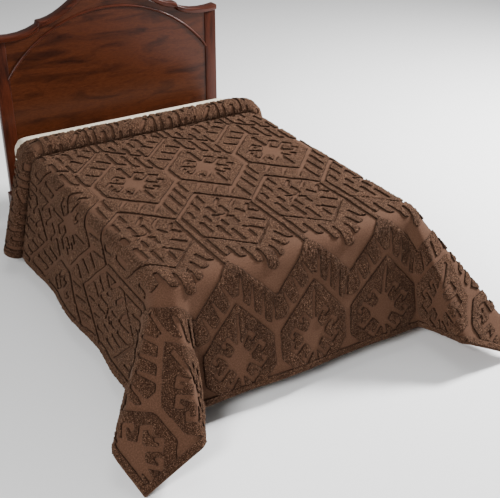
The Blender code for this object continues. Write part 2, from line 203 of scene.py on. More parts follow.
def hungPoints(u, y):
    # where a point of the flat cloth hangs: u across, y along, past the crease along the roll
    out = np.zeros((len(u), 3))
    past = np.clip(y - drape["creaseY"], 0.0, rollLength)
    t = np.interp(past, rollAlong, rollShape[:, 0])
    n = np.interp(past, rollAlong, rollShape[:, 1])
    place = np.where(past > 0, drape["creaseY"] + t, y)
    over = np.abs(u) - drape["bendX"]
    foot = -drape["bendY"] - place
    flat = (over <= 0) & (foot <= 0)
    out[flat] = np.stack((u[flat], place[flat], drape["top"] + n[flat]), 1)
    here = (over <= 0) & (foot > 0)
    row = (u[here] + drape["bendX"]) / (2 * drape["bendX"]) * (stations["foot"] - 1)
    f = lookUp(footTable, row, foot[here])
    out[here] = np.stack((u[here] + f[:, 0], -drape["bendY"] - f[:, 1], drape["top"] + f[:, 2]), 1)
    for side in (-1, 1):
        here = (over > 0) & (foot <= 0) & (np.sign(u) == side)
        d = over[here]
        run = (np.minimum(place[here], drape["creaseY"]) + drape["bendY"])
        row = run / (drape["creaseY"] + drape["bendY"]) * (stations["side"] - 1)
        f = lookUp(sideTables[side], row, d)
        below = lookUp(sideTables[side], row, d + 0.002)
        g = below - lookUp(sideTables[side], row, np.maximum(d - 0.002, 0))
        g /= np.linalg.norm(g, axis=1)[:, None]
        bend = drape["bendStart"] + drape["bendLength"]
        share = 1.0 + (drape["rollAtEdge"] - 1.0) * ease(d / bend)
        share += (drape["rollAtHem"] - drape["rollAtEdge"]) * ease((d - bend) / (drape["fall"] - bend))
        h = np.where(n[here] > 0, n[here] * share, n[here])
        o = f + h[:, None] * np.stack((-g[:, 2], np.zeros(len(d)), g[:, 0]), 1)
        across = side * (drape["bendX"] + o[:, 0])
        out[here] = np.stack((across, place[here] - f[:, 1], drape["top"] + o[:, 2]), 1)
        here = (over > 0) & (foot > 0) & (np.sign(u) == side)
        angle = np.arctan2(foot[here], over[here])
        row = angle / (math.pi / 2) * (stations["corner"] - 1)
        f = lookUp(cornerTables[side], row, np.hypot(foot[here], over[here]))
        across = side * (drape["bendX"] + f[:, 0])
        out[here] = np.stack((across, -drape["bendY"] - f[:, 1], drape["top"] + f[:, 2]), 1)
    return out


# Soft creases, given one by one: flat start and end, width, height.
creases = (
    ((-0.52, 0.50), (-0.20, 0.40), 0.030, 0.0035),
    ((-0.60, 0.30), (-0.46, 0.02), 0.028, 0.0040),
    ((-0.56, -0.10), (-0.44, -0.42), 0.026, 0.0035),
    ((-0.62, -0.50), (-0.50, -0.74), 0.030, 0.0045),
    ((0.10, 0.50), (0.42, 0.43), 0.030, 0.0030),
    ((0.50, 0.20), (0.60, -0.20), 0.028, 0.0030),
    ((-0.05, -0.70), (0.20, -0.84), 0.034, 0.0030),
    ((0.34, -0.62), (0.56, -0.78), 0.030, 0.0035),
    ((-0.86, 0.40), (-0.90, -0.60), 0.045, 0.0050),
    ((0.88, 0.30), (0.92, -0.60), 0.045, 0.0050),
    ((-0.40, -1.10), (-0.34, -1.45), 0.040, 0.0060),
    ((0.16, -1.05), (0.20, -1.46), 0.045, 0.0050),
)


unevenness = {"wide": 0.0014, "fine": 0.0007}      # a faint rise and fall all over, at two sizes


def creaseHeight(u, y):
    total = np.zeros(len(u))
    for start, end, width, height in creases:
        a = np.array(start)
        along = np.array(end) - a
        share = np.clip(((u - a[0]) * along[0] + (y - a[1]) * along[1]) / (along @ along), 0, 1)
        away = np.hypot(u - a[0] - share * along[0], y - a[1] - share * along[1])
        total += height * np.exp(-(away / width) ** 2)
    wide = np.sin(17.0 * u + 5.0 * np.sin(6.1 * y)) * np.sin(13.0 * y + 4.0 * np.sin(7.3 * u))
    fine = np.sin(49.0 * u + 3.0 * np.sin(21.0 * y)) * np.sin(41.0 * y + 3.0 * np.sin(26.0 * u))
    total += unevenness["wide"] * (1 + wide)
    total += unevenness["fine"] * (1 + fine)
    return total


def clothPoints(u, y):
    # the hung cloth with its creases, and which way is out
    gap = 0.003
    here = hungPoints(u, y)
    acrossWay = hungPoints(u + gap, y) - hungPoints(u - gap, y)
    alongWay = hungPoints(u, y + gap) - hungPoints(u, y - gap)
    out = np.cross(acrossWay, alongWay)
    out /= np.maximum(np.linalg.norm(out, axis=1), 1e-12)[:, None]
    return here + creaseHeight(u, y)[:, None] * out, out


def newPiece(name, points, faces, material, flat=None):
    mesh = bpy.data.meshes.new(name)
    mesh.vertices.add(len(points))
    mesh.vertices.foreach_set("co", np.asarray(points, np.float32).ravel())
    sizes = np.concatenate([np.full(len(group), group.shape[1]) for group in faces])
    corners = np.concatenate([group.ravel() for group in faces])
    mesh.loops.add(len(corners))
    mesh.loops.foreach_set("vertex_index", corners.astype(np.int32))
    mesh.polygons.add(len(sizes))
    starts = np.concatenate(([0], np.cumsum(sizes)[:-1]))
    mesh.polygons.foreach_set("loop_start", starts.astype(np.int32))
    mesh.update(calc_edges=True)
    mesh.validate()
    if flat is not None:
        layer = mesh.uv_layers.new(name="cloth")
        layer.data.foreach_set("uv", np.asarray(flat, np.float32)[corners].ravel())
    mesh.materials.append(material)
    mesh.shade_smooth()
    piece = bpy.data.objects.new(name, mesh)
    bpy.context.collection.objects.link(piece)
    return piece


def newMaterial(name, look):
    material = bpy.data.materials.new(name)
    material.use_nodes = True
    shader = material.node_tree.nodes["Principled BSDF"]
    for socket, value in look.items():
        shader.inputs[socket].default_value = value
    return material, material.node_tree, shader


def addNode(tree, kind, **values):
    node = tree.nodes.new(kind)
    for key, value in values.items():
        if key in node.inputs:
            node.inputs[key].default_value = value
        else:
            setattr(node, key, value)
    return node


def ramp(tree, source, stops):
    node = tree.nodes.new("ShaderNodeValToRGB")
    elements = node.color_ramp.elements
    while len(elements) < len(stops):
        elements.new(0.5)
    for element, (place, colour) in zip(elements, stops):
        element.position = place
        element.color = (*colour, 1.0)
    tree.links.new(source, node.inputs["Fac"])
    return node.outputs["Color"]


def makeFibreGroup():
    # fine fibres: a speckled mask and a height, from noise at two sizes
    group = bpy.data.node_groups.new("fibreSpeckle", "ShaderNodeTree")
    group.interface.new_socket("Vector", in_out="INPUT", socket_type="NodeSocketVector")
    for name, value in (("Coarse", 300.0), ("Fine", 1100.0)):
        socket = group.interface.new_socket(name, in_out="INPUT", socket_type="NodeSocketFloat")
        socket.default_value = value
    group.interface.new_socket("Mask", in_out="OUTPUT", socket_type="NodeSocketFloat")
    group.interface.new_socket("Height", in_out="OUTPUT", socket_type="NodeSocketFloat")
    given = group.nodes.new("NodeGroupInput")
    made = group.nodes.new("NodeGroupOutput")
    coarse = addNode(group, "ShaderNodeTexNoise", Detail=2.0, Roughness=0.6)
    fine = addNode(group, "ShaderNodeTexNoise", Detail=2.0, Roughness=0.7)
    for node, size in ((coarse, "Coarse"), (fine, "Fine")):
        group.links.new(given.outputs["Vector"], node.inputs["Vector"])
        group.links.new(given.outputs[size], node.inputs["Scale"])
    both = addNode(group, "ShaderNodeMath", operation="MULTIPLY")
    group.links.new(coarse.outputs["Fac"], both.inputs[0])
    group.links.new(fine.outputs["Fac"], both.inputs[1])
    spread = addNode(group, "ShaderNodeMapRange")
    for socket, value in (("From Min", 0.12), ("From Max", 0.42)):
        spread.inputs[socket].default_value = value
    group.links.new(both.outputs[0], spread.inputs["Value"])
    group.links.new(spread.outputs["Result"], made.inputs["Mask"])
    mixed = addNode(group, "ShaderNodeMath", operation="MULTIPLY_ADD")
    mixed.inputs[1].default_value = 0.6
    group.links.new(coarse.outputs["Fac"], mixed.inputs[0])
    group.links.new(fine.outputs["Fac"], mixed.inputs[2])
    group.links.new(mixed.outputs[0], made.inputs["Height"])
    return group


fibreGroup = makeFibreGroup()


def placeFibre(tree, vector, coarse, fine):
    node = tree.nodes.new("ShaderNodeGroup")
    node.node_tree = fibreGroup
    node.inputs["Coarse"].default_value = coarse
    node.inputs["Fine"].default_value = fine
    tree.links.new(vector, node.inputs["Vector"])
    return node


def addBump(tree, shader, height, strength, distance):
    bump = addNode(tree, "ShaderNodeBump")
    bump.inputs["Strength"].default_value = strength
    bump.inputs["Distance"].default_value = distance
    tree.links.new(height, bump.inputs["Height"])
    tree.links.new(bump.outputs["Normal"], shader.inputs["Normal"])


def makeChenille():
    look = {
        "Roughness": 0.95, "Sheen Weight": 0.10, "Sheen Roughness": 0.5,
        "Sheen Tint": (1.0, 0.62, 0.42, 1.0), "Specular IOR Level": 0.08,
    }
    material, tree, shader = newMaterial("chenillePile", look)
    place = tree.nodes.new("ShaderNodeTexCoord").outputs["Object"]
    fibre = placeFibre(tree, place, 205.0, 520.0)
    wide = addNode(tree, "ShaderNodeTexNoise", Scale=9.0, Detail=3.0)
    tree.links.new(place, wide.inputs["Vector"])
    # the fibres' own mottled tone, with painted highlights: the lightest stop stands for light caught on the
    # fibre tips
    tuft = ramp(tree, fibre.outputs["Mask"], (
        (0.05, (0.011, 0.0042, 0.0023)), (0.45, (0.038, 0.0172, 0.0097)),
        (0.72, (0.104, 0.0535, 0.0315)), (1.0, (0.300, 0.176, 0.114)),
    ))
    shade = ramp(tree, wide.outputs["Fac"], ((0.30, (0.80, 0.80, 0.80)), (0.70, (1.14, 1.12, 1.10))))
    mix = addNode(tree, "ShaderNodeMix", data_type="RGBA", blend_type="MULTIPLY")
    mix.inputs["Factor"].default_value = 1.0
    tree.links.new(tuft, mix.inputs[6])
    tree.links.new(shade, mix.inputs[7])
    # painted shade: the colour darkens towards each tuft's roots and walls, standing in for the shadow in
    # the bare slits
    rise = addNode(tree, "ShaderNodeAttribute", attribute_name="shadeRise")
    paintedRootShade = ramp(tree, rise.outputs["Fac"], (
        (0.0, (0.06, 0.05, 0.04)), (0.62, (0.30, 0.26, 0.24)), (0.95, (1.0, 1.0, 1.0)),
    ))
    rootShadedColour = addNode(tree, "ShaderNodeMix", data_type="RGBA", blend_type="MULTIPLY")
    rootShadedColour.inputs["Factor"].default_value = 1.0
    tree.links.new(mix.outputs[2], rootShadedColour.inputs[6])
    tree.links.new(paintedRootShade, rootShadedColour.inputs[7])
    tree.links.new(rootShadedColour.outputs[2], shader.inputs["Base Color"])
    addBump(tree, shader, fibre.outputs["Height"], 1.0, 0.0034)
    return material


def makeGround():
    look = {
        "Roughness": 0.92, "Sheen Weight": 0.05, "Sheen Roughness": 0.5,
        "Sheen Tint": (1.0, 0.66, 0.46, 1.0), "Specular IOR Level": 0.10,
    }
    material, tree, shader = newMaterial("bedspreadGround", look)
    flat = tree.nodes.new("ShaderNodeUVMap")
    flat.uv_map = "cloth"
    waves = []
    for way in ("X", "Y"):
        wave = addNode(tree, "ShaderNodeTexWave", wave_type="BANDS", bands_direction=way)
        wave.inputs["Scale"].default_value = 130.0
        wave.inputs["Distortion"].default_value = 0.6
        wave.inputs["Detail"].default_value = 1.0
        wave.inputs["Detail Scale"].default_value = 2.0
        tree.links.new(flat.outputs["UV"], wave.inputs["Vector"])
        waves.append(wave.outputs["Fac"])
    weave = addNode(tree, "ShaderNodeMath", operation="ADD")
    tree.links.new(waves[0], weave.inputs[0])
    tree.links.new(waves[1], weave.inputs[1])
    fibre = placeFibre(tree, flat.outputs["UV"], 160.0, 1400.0)
    cloth = ramp(tree, fibre.outputs["Mask"], (
        (0.0, (0.052, 0.0240, 0.0136)), (0.5, (0.076, 0.0370, 0.0220)), (1.0, (0.108, 0.057, 0.0355)),
    ))
    tree.links.new(cloth, shader.inputs["Base Color"])
    addBump(tree, shader, weave.outputs[0], 0.35, 0.0006)
    return material


def makeCotton():
    look = {"Roughness": 0.85, "Sheen Weight": 0.15, "Specular IOR Level": 0.3}
    material, tree, shader = newMaterial("creamCotton", look)
    place = tree.nodes.new("ShaderNodeTexCoord").outputs["Object"]
    fibre = placeFibre(tree, place, 260.0, 1500.0)
    wide = addNode(tree, "ShaderNodeTexNoise", Scale=5.0, Detail=4.0)
    tree.links.new(place, wide.inputs["Vector"])
    colour = ramp(tree, wide.outputs["Fac"], ((0.3, (0.56, 0.49, 0.36)), (0.7, (0.64, 0.57, 0.44))))
    tree.links.new(colour, shader.inputs["Base Color"])
    addBump(tree, shader, fibre.outputs["Height"], 0.30, 0.0005)
    return material


def makeWood(name, stretch, dark, light):
    look = {"Specular IOR Level": 0.16, "Coat Roughness": 0.25}
    material, tree, shader = newMaterial(name, look)
    place = tree.nodes.new("ShaderNodeTexCoord").outputs["Object"]
    turned = addNode(tree, "ShaderNodeMapping")
    turned.inputs["Scale"].default_value = stretch
    tree.links.new(place, turned.inputs["Vector"])
    figure = addNode(tree, "ShaderNodeTexNoise", Scale=3.0, Detail=6.0, Roughness=0.55, Distortion=0.6)
    pores = addNode(tree, "ShaderNodeTexNoise", Scale=38.0, Detail=3.0, Roughness=0.7)
    for node in (figure, pores):
        tree.links.new(turned.outputs["Vector"], node.inputs["Vector"])
    between = tuple(0.75 * part for part in light)
    colour = ramp(tree, figure.outputs["Fac"], ((0.28, dark), (0.52, light), (0.74, between)))
    streak = ramp(tree, pores.outputs["Fac"], ((0.35, (0.62, 0.58, 0.55)), (0.60, (1.0, 1.0, 1.0))))
    mix = addNode(tree, "ShaderNodeMix", data_type="RGBA", blend_type="MULTIPLY")
    mix.inputs["Factor"].default_value = 0.8
    tree.links.new(colour, mix.inputs[6])
    tree.links.new(streak, mix.inputs[7])
    tree.links.new(mix.outputs[2], shader.inputs["Base Color"])
    gloss = addNode(tree, "ShaderNodeMapRange")
    gloss.inputs["To Min"].default_value = 0.24
    gloss.inputs["To Max"].default_value = 0.44
    tree.links.new(pores.outputs["Fac"], gloss.inputs["Value"])
    tree.links.new(gloss.outputs["Result"], shader.inputs["Roughness"])
    shader.inputs["Coat Weight"].default_value = 0.06
    addBump(tree, shader, pores.outputs["Fac"], 0.12, 0.0008)
    return material


pileMaterial = makeChenille()
groundMaterial = makeGround()
cottonMaterial = makeCotton()
uprightWood = makeWood("mahoganyUpright", (9.0, 9.0, 0.8), (0.012, 0.0026, 0.0012), (0.054, 0.0115, 0.0044))
panelWood = makeWood("mahoganyPanel", (1.1, 9.0, 5.5), (0.014, 0.0032, 0.0012), (0.056, 0.0140, 0.0044))
levelWood = makeWood("mahoganyLevel", (0.8, 9.0, 9.0), (0.012, 0.0026, 0.0012), (0.054, 0.0115, 0.0044))
longWood = makeWood("mahoganyLong", (9.0, 0.8, 9.0), (0.012, 0.0026, 0.0012), (0.054, 0.0115, 0.0044))
print("finishes made")

# The plain woven ground of the bedspread, in metres.
ground = {"cell": 0.0155, "thickness": 0.002}
halfWidth = drape["bendX"] + drape["fall"]
footEnd = -drape["bendY"] - drape["fall"]
headEnd = drape["creaseY"] + rollLength


def gridSheet(name, material):
    columns = int(round(2 * halfWidth / ground["cell"])) + 1
    lines = int(round((headEnd - footEnd) / ground["cell"])) + 1
    u, y = np.meshgrid(np.linspace(-halfWidth, halfWidth, columns), np.linspace(footEnd, headEnd, lines))
    u, y = u.ravel(), y.ravel()
    upper, out = clothPoints(u, y)
    lower = upper - ground["thickness"] * out
    count = len(u)
    number = np.arange(count).reshape(lines, columns)
    quads = np.stack((number[:-1, :-1], number[:-1, 1:], number[1:, 1:], number[1:, :-1]), -1).reshape(-1, 4)
    under = quads[:, ::-1] + count
    rim = np.concatenate((number[0, :], number[1:, -1], number[-1, -2::-1], number[-2:0:-1, 0]))
    after = np.roll(rim, -1)
    edge = np.stack((after, rim, rim + count, after + count), -1)
    points = np.vstack((upper, lower))
    flat = np.tile(np.stack((u, y), 1), (2, 1))
    return newPiece(name, points, [quads, under, edge], material, flat)


spread = gridSheet("bedspread_ground", groundMaterial)
print("ground made", len(spread.data.polygons))

# One repeat of the tufted pattern: a hooked medallion, comb cells between the columns and
# toothed zigzag bands.
# Lengths are measured up or down from the row of medallions; across, from a column's axis.
pattern = {
    "pitch": 0.402,
    "axis": 0.046,
    "cellsPerPitch": 96,
    "slope": 1.04,
    "medallion": (0.182, 0.259),        # half width, half height
    "footMedallion": -1.353,
    "centreDiamond": (0.068, 0.092),
    "band": (0.294, 0.447),             # inner and outer edge at the axis
    "comb": (0.480, 0.630, 0.171),      # upper edge and lower edge at the axis, half width
    "stem": (0.0112, 0.030, 0.455),     # half width, channel's half width, start
    "footBand": (0.905, 1.059, 1.225),  # upper edge and teeth at the axis, lowest tooth
    "border": 0.036,
    "hem": 0.005,
    "headHem": 0.055,                   # bare cloth at the end inside the roll
    "creaseOffset": 0.004,              # the bare line along the roll's crease, and half its width
    "creaseHalf": 0.012,
    "creaseCalm": 0.040,                # the pile is pressed down this far from it
    "block": 4,                         # cells along each side of one block of the underside
}
tuft = {
    "height": 0.0074,
    "smoothUneven": 0.0012,
    "uneven": 0.0014,
    "sway": 0.0004,
    "rimDrop": 0.0013,
    "rimShadeRise": 0.72,                    # how far up the tuft its rim counts, for the painted root shade
    "sunk": 0.0010,
    "limit": 2.5,                       # no tuft strays further than this many spreads
}
# Bare lines as (width at the start, width at the end, points), mirrored to all four quarters.
medallionLines = (
    (0.016, 0.013, (0.004, 0.080), (0.004, 0.205)),
    (0.022, 0.018, (0.016, 0.064), (0.054, 0.112), (0.080, 0.092), (0.066, 0.076)),
    (0.023, 0.018, (0.052, 0.012), (0.104, 0.056), (0.132, 0.034), (0.116, 0.016)),
)
# Bare slits: right of a column they run upright, left of it they lean.
bandSlits = (
    (0.016, 0.027, (0.018, 0.406), (0.013, 0.270)), (0.016, 0.027, (0.078, 0.342), (0.073, 0.206)),
    (0.016, 0.027, (0.130, 0.282), (0.125, 0.150)), (0.014, 0.025, (0.178, 0.220), (0.174, 0.100)),
    (0.018, 0.026, (-0.172, 0.214), (-0.126, 0.160)), (0.018, 0.026, (-0.114, 0.284), (-0.068, 0.222)),
    (0.018, 0.026, (-0.058, 0.342), (-0.014, 0.284)),
)
combSlits = (
    (0.022, 0.018, (0.072, 0.424), (0.072, 0.484)), (0.020, 0.024, (0.076, 0.548), (0.076, 0.640)),
    (0.022, 0.018, (0.127, 0.358), (0.127, 0.428)), (0.020, 0.020, (0.120, 0.500), (0.120, 0.550)),
    (0.020, 0.024, (0.128, 0.612), (0.128, 0.712)), (0.020, 0.020, (0.184, 0.298), (0.184, 0.366)),
    (0.020, 0.018, (0.178, 0.418), (0.178, 0.488)), (0.018, 0.020, (0.172, 0.570), (0.172, 0.622)),
    (0.018, 0.018, (0.172, 0.668), (0.172, 0.772)),
    (0.024, 0.020, (-0.174, 0.404), (-0.138, 0.362)), (0.024, 0.020, (-0.118, 0.452), (-0.080, 0.414)),
    (0.022, 0.020, (-0.070, 0.518), (-0.044, 0.480)), (0.020, 0.020, (-0.166, 0.436), (-0.166, 0.496)),
    (0.018, 0.020, (-0.172, 0.566), (-0.172, 0.620)), (0.018, 0.018, (-0.172, 0.668), (-0.172, 0.772)),
    (0.024, 0.022, (-0.064, 0.542), (-0.032, 0.586)), (0.024, 0.022, (-0.108, 0.616), (-0.066, 0.664)),
    (0.024, 0.022, (-0.152, 0.686), (-0.116, 0.730)), (0.018, 0.018, (-0.118, 0.500), (-0.100, 0.544)),
)
crossLines = (
    (0.018, 0.013, (0.0, 0.530), (0.040, 0.504)), (0.018, 0.013, (0.0, 0.530), (0.040, 0.556)),
    (0.024, 0.024, (0.0, 0.520), (0.0, 0.542)),
)
lowerSlits = (
    (0.012, 0.024, (0.168, 0.880), (0.166, 1.010)), (0.012, 0.024, (0.118, 0.836), (0.116, 0.960)),
    (0.012, 0.026, (0.068, 0.790), (0.064, 0.915)), (0.012, 0.022, (-0.168, 0.880), (-0.166, 1.010)),
    (0.014, 0.024, (-0.128, 0.838), (-0.110, 0.960)), (0.014, 0.026, (-0.080, 0.784), (-0.056, 0.915)),
)
footSlits = (
    (0.010, 0.034, (0.030, 0.975), (0.022, 1.110)), (0.010, 0.034, (0.084, 1.036), (0.076, 1.165)),
    (0.010, 0.034, (0.136, 1.092), (0.128, 1.222)), (0.010, 0.026, (0.186, 1.136), (0.182, 1.240)),
    (0.012, 0.030, (-0.060, 1.004), (-0.018, 1.086)), (0.012, 0.030, (-0.112, 1.060), (-0.070, 1.142)),
    (0.012, 0.030, (-0.162, 1.116), (-0.122, 1.196)),
)
toothEnds = ((0.026, 1.000), (0.078, 0.952), (0.130, 0.905), (0.201, 0.862))


def nearLines(x, y, table):
    near = np.zeros(x.shape, bool)
    for startWidth, endWidth, *points in table:
        for start, end in zip(points, points[1:]):
            a = np.array(start)
            along = np.array(end) - a
            share = np.clip(((x - a[0]) * along[0] + (y - a[1]) * along[1]) / (along @ along), 0, 1)
            reach = (startWidth + (endWidth - startWidth) * share) / 2
            near |= np.hypot(x - a[0] - share * along[0], y - a[1] - share * along[1]) <= reach
    return near


def medallion(x, dy):
    away, up = np.abs(x), np.abs(dy)
    halfWide, halfHigh = pattern["medallion"]
    inside = (away <= halfWide) & (up <= halfHigh - pattern["slope"] * away)
    wide, high = pattern["centreDiamond"]
    return inside & ~(away / wide + up / high < 1.0) & ~nearLines(away, up, medallionLines)


def pilePattern(u, y):
    # which kind of pile stands at a place of the flat cloth, or 0 for bare ground
    pitch, slope = pattern["pitch"], pattern["slope"]
    # on the left drop the pattern sits a little further out
    u = u + 0.04 * ease((-u - 0.60) / 0.15)
    # on the foot drop the cloth leans, and the pattern with it
    u = u + (0.040 + 0.055 * u) * ease((-y - 1.0) / 0.4)
    x = (u - pattern["axis"] + pitch / 2) % pitch - pitch / 2
    away = np.abs(x)
    half = pitch / 2 - away
    d = np.abs(y)
    kind = np.zeros(u.shape, np.int8)
    kind[medallion(x, y)] = 1
    inner, outer = pattern["band"]
    band = (d > inner - slope * away) & (d < outer - slope * away) & ~nearLines(x, d, bandSlits)
    kind[band] = 3
    combTop, combBottom, combWide = pattern["comb"]
    comb = (half <= combWide) & (d > combTop - slope * away) & (d < combBottom + slope * away)
    comb &= ~nearLines(x, d, combSlits) & ~nearLines(half, d, crossLines)
    kind[comb] = 2
    stemHalf, channel, stemStart = pattern["stem"]
    bandTop, teeth, lowest = pattern["footBand"]
    kind[(away < stemHalf) & (d > stemStart) & (d < bandTop + 0.01)] = 4
    lowEnd = np.full(u.shape, toothEnds[-1][1])
    for reach, end in reversed(toothEnds):
        lowEnd = np.where(half < reach, end - 0.5 * np.abs(half - reach + 0.026), lowEnd)
    lower = (d > combBottom + 0.0125 + slope * away) & (away > channel) & (d < lowEnd)
    kind[lower & ~nearLines(x, d, lowerSlits)] = 4
    footBand = (y < 0) & (d > bandTop + slope * away) & (d < np.minimum(teeth + slope * away, lowest))
    kind[footBand & ~nearLines(x, d, footSlits)] = 5
    kind[medallion(x, y - pattern["footMedallion"])] = 6
    return kind


def mapCloth():
    # the whole cloth in small cells, with the border along its three hems
    cell = pattern["pitch"] / pattern["cellsPerPitch"]
    first = math.ceil((-halfWidth + pattern["hem"] - pattern["axis"]) / cell)
    last = math.floor((halfWidth - pattern["hem"] - pattern["axis"]) / cell)
    edgesU = pattern["axis"] + cell * np.arange(first, last + 1)
    lineCount = int((headEnd - pattern["headHem"] - footEnd - pattern["hem"]) / cell)
    edgesY = footEnd + pattern["hem"] + cell * np.arange(lineCount)
    u, y = np.meshgrid((edgesU[:-1] + edgesU[1:]) / 2, (edgesY[:-1] + edgesY[1:]) / 2, indexing="ij")
    kind = pilePattern(u, y)
    fromHem = np.minimum(halfWidth - np.abs(u), y - footEnd)
    kind[fromHem < pattern["border"]] = 7
    kind[np.abs(y - drape["creaseY"] - pattern["creaseOffset"]) < pattern["creaseHalf"]] = 0
    for _ in range(6):      # two tufts that touch only at a corner are joined
        pile = kind > 0
        a, b, c, d = pile[:-1, :-1], pile[1:, :-1], pile[:-1, 1:], pile[1:, 1:]
        one = a & d & ~b & ~c
        two = b & c & ~a & ~d
        if not (one.any() or two.any()):
            break
        kind[1:, :-1][one] = kind[:-1, :-1][one]
        kind[:-1, :-1][two] = kind[1:, :-1][two]
    return edgesU, edgesY, kind


edgesU, edgesY, kinds = mapCloth()
pileCells = kinds > 0
print("pattern charted", kinds.shape, "share of pile", round(float(pileCells.mean()), 3))

# how tall each corner of the cells stands, as uneven as tufts are
seeded = np.random.RandomState(7)
lumps = np.clip(seeded.normal(size=(len(edgesU), len(edgesY))), -tuft["limit"], tuft["limit"])
smoothLumps = lumps.copy()
lumpSum = lumps[1:-1, 1:-1] * 2 + lumps[:-2, 1:-1] + lumps[2:, 1:-1] + lumps[1:-1, :-2] + lumps[1:-1, 2:]
smoothLumps[1:-1, 1:-1] = lumpSum / 6
sway = seeded.normal(size=(len(edgesU), len(edgesY), 2)) * tuft["sway"]


def dropCornerContacts(chosen):
    # no two tufts of one piece touch only at a corner, so that its shell stays simple
    a, b, c, d = chosen[:-1, :-1], chosen[1:, :-1], chosen[:-1, 1:], chosen[1:, 1:]
    for _ in range(20):
        a[a & d & ~b & ~c] = False
        b[b & c & ~a & ~d] = False
    return chosen


def bottomFaces(chosen, number):
    # the underside: whole blocks of cells as a fan of faces, the rest cell by cell
    size = pattern["block"]
    columns, lines = chosen.shape[0] // size, chosen.shape[1] // size
    blocks = chosen[:columns * size, :lines * size].reshape(columns, size, lines, size).all(axis=(1, 3))
    single = chosen.copy()
    single[:columns * size, :lines * size] &= ~np.kron(blocks, np.ones((size, size), bool))
    i, j = np.nonzero(single)
    small = np.stack((number[i, j], number[i, j + 1], number[i + 1, j + 1], number[i + 1, j]), -1)
    i, j = (size * index for index in np.nonzero(blocks))
    steps = range(size)
    ring = [(0, k) for k in steps] + [(k, size) for k in steps]
    ring += [(size, size - k) for k in steps] + [(size - k, 0) for k in steps]
    middle = number[i + size // 2, j + size // 2]
    corners = [number[i + di, j + dj] for di, dj in ring]
    fans = [np.stack((middle, start, end), -1) for start, end in zip(corners, corners[1:] + corners[:1])]
    return small, np.vstack(fans)


def makePile(name, chosen):
    # a closed shell: the top of the pile, its sides, and its underside inside the ground
    chosen = dropCornerContacts(chosen.copy())
    columns, lines = chosen.shape
    number = np.arange((columns + 1) * (lines + 1)).reshape(columns + 1, lines + 1)
    i, j = np.nonzero(chosen)
    quads = np.stack((number[i, j], number[i + 1, j], number[i + 1, j + 1], number[i, j + 1]), -1)
    padded = np.zeros((columns + 2, lines + 2), bool)
    padded[1:-1, 1:-1] = chosen
    rims = []
    around = ((0, 0), (1, 0), (1, 1), (0, 1))
    for (di, dj), start, end in zip(((0, -1), (1, 0), (0, 1), (-1, 0)), around, around[1:] + around[:1]):
        bare = ~padded[i + 1 + di, j + 1 + dj]
        ends = [number[i[bare] + place[0], j[bare] + place[1]] for place in (start, end)]
        rims.append(np.stack(ends, -1))
    rim = np.vstack(rims)
    under = bottomFaces(chosen, number)
    used, quads = np.unique(quads, return_inverse=True)
    quads = quads.reshape(-1, 4)
    rim = np.searchsorted(used, rim)
    a, b = np.unravel_index(used, number.shape)
    flat = np.stack((edgesU[a], edgesY[b]), 1) + sway[a, b]
    onRim = np.zeros(len(used), bool)
    onRim[rim.ravel()] = True
    for _ in range(3):      # the stepped outline is eased into straight runs
        total = np.zeros_like(flat)
        count = np.zeros(len(used))
        for start, end in ((0, 1), (1, 0)):
            np.add.at(total, rim[:, start], flat[rim[:, end]])
            np.add.at(count, rim[:, start], 1)
        flat[onRim] = 0.5 * flat[onRim] + 0.5 * total[onRim] / count[onRim][:, None]
    base, out = clothPoints(flat[:, 0], flat[:, 1])
    height = tuft["height"] + tuft["smoothUneven"] * smoothLumps[a, b] + tuft["uneven"] * lumps[a, b]
    height[onRim] -= tuft["rimDrop"]
    fromCrease = np.abs(flat[:, 1] - drape["creaseY"] - pattern["creaseOffset"])
    calm = ease(fromCrease / pattern["creaseCalm"])
    top = base + (height * (0.35 + 0.65 * calm))[:, None] * out
    small, large = (np.searchsorted(used, group) for group in under)
    low = np.unique(np.concatenate((small.ravel(), large.ravel())))
    lowNumber = np.zeros(len(used), int)
    lowNumber[low] = len(used) + np.arange(len(low))
    bottom = base[low] - tuft["sunk"] * out[low]
    walls = np.stack((rim[:, 1], rim[:, 0], lowNumber[rim[:, 0]], lowNumber[rim[:, 1]]), -1)
    points = np.vstack((top, bottom))
    allFlat = np.vstack((flat, flat[low]))
    faces = [quads, walls, lowNumber[small], lowNumber[large]]
    piece = newPiece(name, points, faces, pileMaterial, allFlat)
    # how far up the tuft a point is: painted shade darkens the colour down at the roots and along the walls,
    # where the slits lie in shadow
    rise = np.concatenate((np.where(onRim, tuft["rimShadeRise"], 1.0), np.zeros(len(low))))
    layer = piece.data.attributes.new("shadeRise", "FLOAT", "POINT")
    layer.data.foreach_set("value", rise.astype(np.float32))
    print(name, "triangles", sum(len(face.vertices) - 2 for face in piece.data.polygons))
    return piece


middleU = np.repeat(((edgesU[:-1] + edgesU[1:]) / 2)[:, None], kinds.shape[1], axis=1)
cellColumn = np.floor((middleU - pattern["axis"]) / pattern["pitch"])
pilePieces = [
    makePile("pile_medallions_top", kinds == 1),
    makePile("pile_medallions_foot", kinds == 6),
    makePile("pile_combs_left", (kinds == 2) & (cellColumn < 0)),
    makePile("pile_combs_right", (kinds == 2) & (cellColumn >= 0)),
    makePile("pile_bands_top", kinds == 3),
    makePile("pile_teeth_foot", kinds == 4),
    makePile("pile_bands_foot", kinds == 5),
    makePile("pile_border", kinds == 7),
]
for piece in [spread] + pilePieces:
    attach(piece, "root")
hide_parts("bedspread")
print("pile made")

# Mattress and foundation in a cream sheet.
coverCell = 0.026
bedding = {
    "mattress": {"bevel": 0.070, "wrinkle": 0.0016, "seed": 3},
    "foundation": {"bevel": 0.014, "wrinkle": 0.0008, "seed": 5},
}


